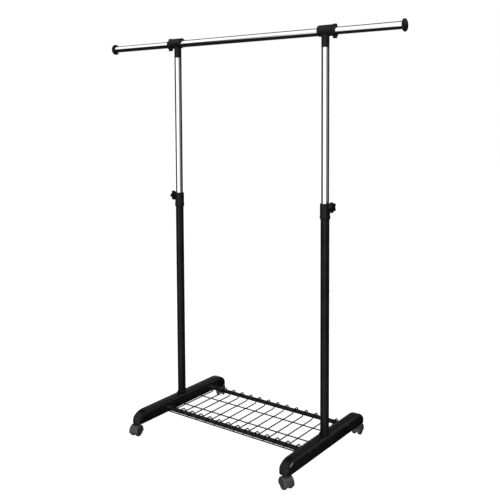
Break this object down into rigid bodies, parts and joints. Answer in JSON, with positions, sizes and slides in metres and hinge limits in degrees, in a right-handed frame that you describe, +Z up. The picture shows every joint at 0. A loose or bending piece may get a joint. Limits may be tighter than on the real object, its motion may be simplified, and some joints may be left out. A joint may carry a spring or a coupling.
{
  "type": "garment rail",
  "caption": "Rolling garment rail with a height-adjustable chromed mast, pull-out rail ends and a low wire shelf.",
  "frame": {"origin": "on the floor, midway between the axes of the two posts", "axes": "+X along the hanging rail to the right, +Y from the front feet to the rear feet, +Z up"},
  "size_m": [1.183, 0.4994, 1.3528],
  "materials": {
    "black_paint": "satin powder coat",
    "black_plastic": "satin",
    "black_steel": "black oxide",
    "black_wire": "satin powder coat",
    "brass": "turned",
    "caster_plastic": "semi-gloss",
    "chrome": "polished",
    "grey_plastic": "satin",
    "wheel_plastic": "satin",
    "zinc_steel": "zinc plated"
  },
  "bodies": {
    "base": {"left_leg": "black_plastic", "right_leg": "black_plastic", "front_crossbar": "black_paint", "rear_crossbar": "black_paint", "crossbar_plugs": "zinc_steel", "crossbar_bolts": "black_steel", "left_lower_post": "black_paint", "right_lower_post": "black_paint", "post_inserts": "zinc_steel", "post_washers": "zinc_steel", "post_bolts": "zinc_steel", "left_collar": "black_plastic", "right_collar": "black_plastic", "collar_bushes": "brass", "front_left_caster_stem": "zinc_steel", "front_right_caster_stem": "zinc_steel", "rear_left_caster_stem": "zinc_steel", "rear_right_caster_stem": "zinc_steel"},
    "mast": {"left_upper_post": "chrome", "right_upper_post": "chrome", "left_post_guide": "black_plastic", "right_post_guide": "black_plastic", "left_tee": "black_plastic", "right_tee": "black_plastic", "tee_screws": "black_steel", "centre_rail": "chrome", "left_grip_collet": "grey_plastic", "right_grip_collet": "grey_plastic"},
    "shelf": {"wire_shelf": "black_wire"},
    "left_extension": {"left_extension_tube": "chrome", "left_extension_guide": "black_plastic", "left_end_cap": "black_plastic"},
    "left_ring": {"left_twist_ring": "black_plastic"},
    "left_stud": {"left_knob_stud": "zinc_steel"},
    "left_star_knob": {"left_knob": "black_plastic"},
    "right_extension": {"right_extension_tube": "chrome", "right_extension_guide": "black_plastic", "right_end_cap": "black_plastic"},
    "right_ring": {"right_twist_ring": "black_plastic"},
    "right_stud": {"right_knob_stud": "zinc_steel"},
    "right_star_knob": {"right_knob": "black_plastic"},
    "front_left_swivel": {"front_left_caster_hood": "caster_plastic", "front_left_caster_axle": "zinc_steel"},
    "front_left_wheel_a": {"front_left_caster_wheel_a": "wheel_plastic"},
    "front_left_wheel_b": {"front_left_caster_wheel_b": "wheel_plastic"},
    "front_right_swivel": {"front_right_caster_hood": "caster_plastic", "front_right_caster_axle": "zinc_steel"},
    "front_right_wheel_a": {"front_right_caster_wheel_a": "wheel_plastic"},
    "front_right_wheel_b": {"front_right_caster_wheel_b": "wheel_plastic"},
    "rear_left_swivel": {"rear_left_caster_hood": "caster_plastic", "rear_left_caster_axle": "zinc_steel"},
    "rear_left_wheel_a": {"rear_left_caster_wheel_a": "wheel_plastic"},
    "rear_left_wheel_b": {"rear_left_caster_wheel_b": "wheel_plastic"},
    "rear_right_swivel": {"rear_right_caster_hood": "caster_plastic", "rear_right_caster_axle": "zinc_steel"},
    "rear_right_wheel_a": {"rear_right_caster_wheel_a": "wheel_plastic"},
    "rear_right_wheel_b": {"rear_right_caster_wheel_b": "wheel_plastic"}
  },
  "joints": [
    {"name": "height", "type": "slide", "parent": "base", "child": "mast", "axis": [0, 0, 1], "range_m": [-0.426, 0.213]},
    {"name": "shelf_lift_off", "type": "slide", "parent": "base", "child": "shelf", "axis": [0, 0, 1], "range_m": [0, 0.12]},
    {"name": "left_extension_slide", "type": "slide", "parent": "mast", "child": "left_extension", "axis": [-1, 0, 0], "range_m": [-0.258, 0.029]},
    {"name": "left_ring_twist", "type": "hinge", "parent": "mast", "child": "left_ring", "pos_m": [-0.333, 0, 1.331], "axis": [-1, 0, 0], "range_deg": [-20, 90]},
    {"name": "left_stud_travel", "type": "slide", "parent": "base", "child": "left_stud", "axis": [-1, 0, 0], "range_m": [-0.002, 0.001]},
    {"name": "left_knob_turn", "type": "hinge", "parent": "left_stud", "child": "left_star_knob", "pos_m": [-0.326, 0, 0.797], "axis": [-1, 0, 0], "range_deg": [-576, 288]},
    {"name": "right_extension_slide", "type": "slide", "parent": "mast", "child": "right_extension", "axis": [1, 0, 0], "range_m": [-0.202, 0.085]},
    {"name": "right_ring_twist", "type": "hinge", "parent": "mast", "child": "right_ring", "pos_m": [0.333, 0, 1.331], "axis": [1, 0, 0], "range_deg": [-20, 90]},
    {"name": "right_stud_travel", "type": "slide", "parent": "base", "child": "right_stud", "axis": [1, 0, 0], "range_m": [-0.002, 0.001]},
    {"name": "right_knob_turn", "type": "hinge", "parent": "right_stud", "child": "right_star_knob", "pos_m": [0.326, 0, 0.797], "axis": [1, 0, 0], "range_deg": [-576, 288]},
    {"name": "front_left_swivel", "type": "hinge", "parent": "base", "child": "front_left_swivel", "pos_m": [-0.3, -0.225, 0.0405], "axis": [0, 0, 1], "continuous": true},
    {"name": "front_left_wheel_a_spin", "type": "hinge", "parent": "front_left_swivel", "child": "front_left_wheel_a", "pos_m": [-0.29861, -0.23288, 0.018], "axis": [0.9848, 0.1736, 0], "continuous": true},
    {"name": "front_left_wheel_b_spin", "type": "hinge", "parent": "front_left_swivel", "child": "front_left_wheel_b", "pos_m": [-0.29861, -0.23288, 0.018], "axis": [0.9848, 0.1736, 0], "continuous": true},
    {"name": "front_right_swivel", "type": "hinge", "parent": "base", "child": "front_right_swivel", "pos_m": [0.3, -0.225, 0.0405], "axis": [0, 0, 1], "continuous": true},
    {"name": "front_right_wheel_a_spin", "type": "hinge", "parent": "front_right_swivel", "child": "front_right_wheel_a", "pos_m": [0.30725, -0.22838, 0.018], "axis": [0.4226, 0.9063, 0], "continuous": true},
    {"name": "front_right_wheel_b_spin", "type": "hinge", "parent": "front_right_swivel", "child": "front_right_wheel_b", "pos_m": [0.30725, -0.22838, 0.018], "axis": [0.4226, 0.9063, 0], "continuous": true},
    {"name": "rear_left_swivel", "type": "hinge", "parent": "base", "child": "rear_left_swivel", "pos_m": [-0.3, 0.225, 0.0405], "axis": [0, 0, 1], "continuous": true},
    {"name": "rear_left_wheel_a_spin", "type": "hinge", "parent": "rear_left_swivel", "child": "rear_left_wheel_a", "pos_m": [-0.29507, 0.2187, 0.018], "axis": [0.788, 0.6157, 0], "continuous": true},
    {"name": "rear_left_wheel_b_spin", "type": "hinge", "parent": "rear_left_swivel", "child": "rear_left_wheel_b", "pos_m": [-0.29507, 0.2187, 0.018], "axis": [0.788, 0.6157, 0], "continuous": true},
    {"name": "rear_right_swivel", "type": "hinge", "parent": "base", "child": "rear_right_swivel", "pos_m": [0.3, 0.225, 0.0405], "axis": [0, 0, 1], "continuous": true},
    {"name": "rear_right_wheel_a_spin", "type": "hinge", "parent": "rear_right_swivel", "child": "rear_right_wheel_a", "pos_m": [0.30111, 0.21708, 0.018], "axis": [0.9903, 0.1392, 0], "continuous": true},
    {"name": "rear_right_wheel_b_spin", "type": "hinge", "parent": "rear_right_swivel", "child": "rear_right_wheel_b", "pos_m": [0.30111, 0.21708, 0.018], "axis": [0.9903, 0.1392, 0], "continuous": true}
  ],
  "couplings": [
    {"joint": "left_stud_travel", "follows": "left_knob_turn", "m_per_rad": 0.00019894},
    {"joint": "right_stud_travel", "follows": "right_knob_turn", "m_per_rad": 0.00019894}
  ]
}
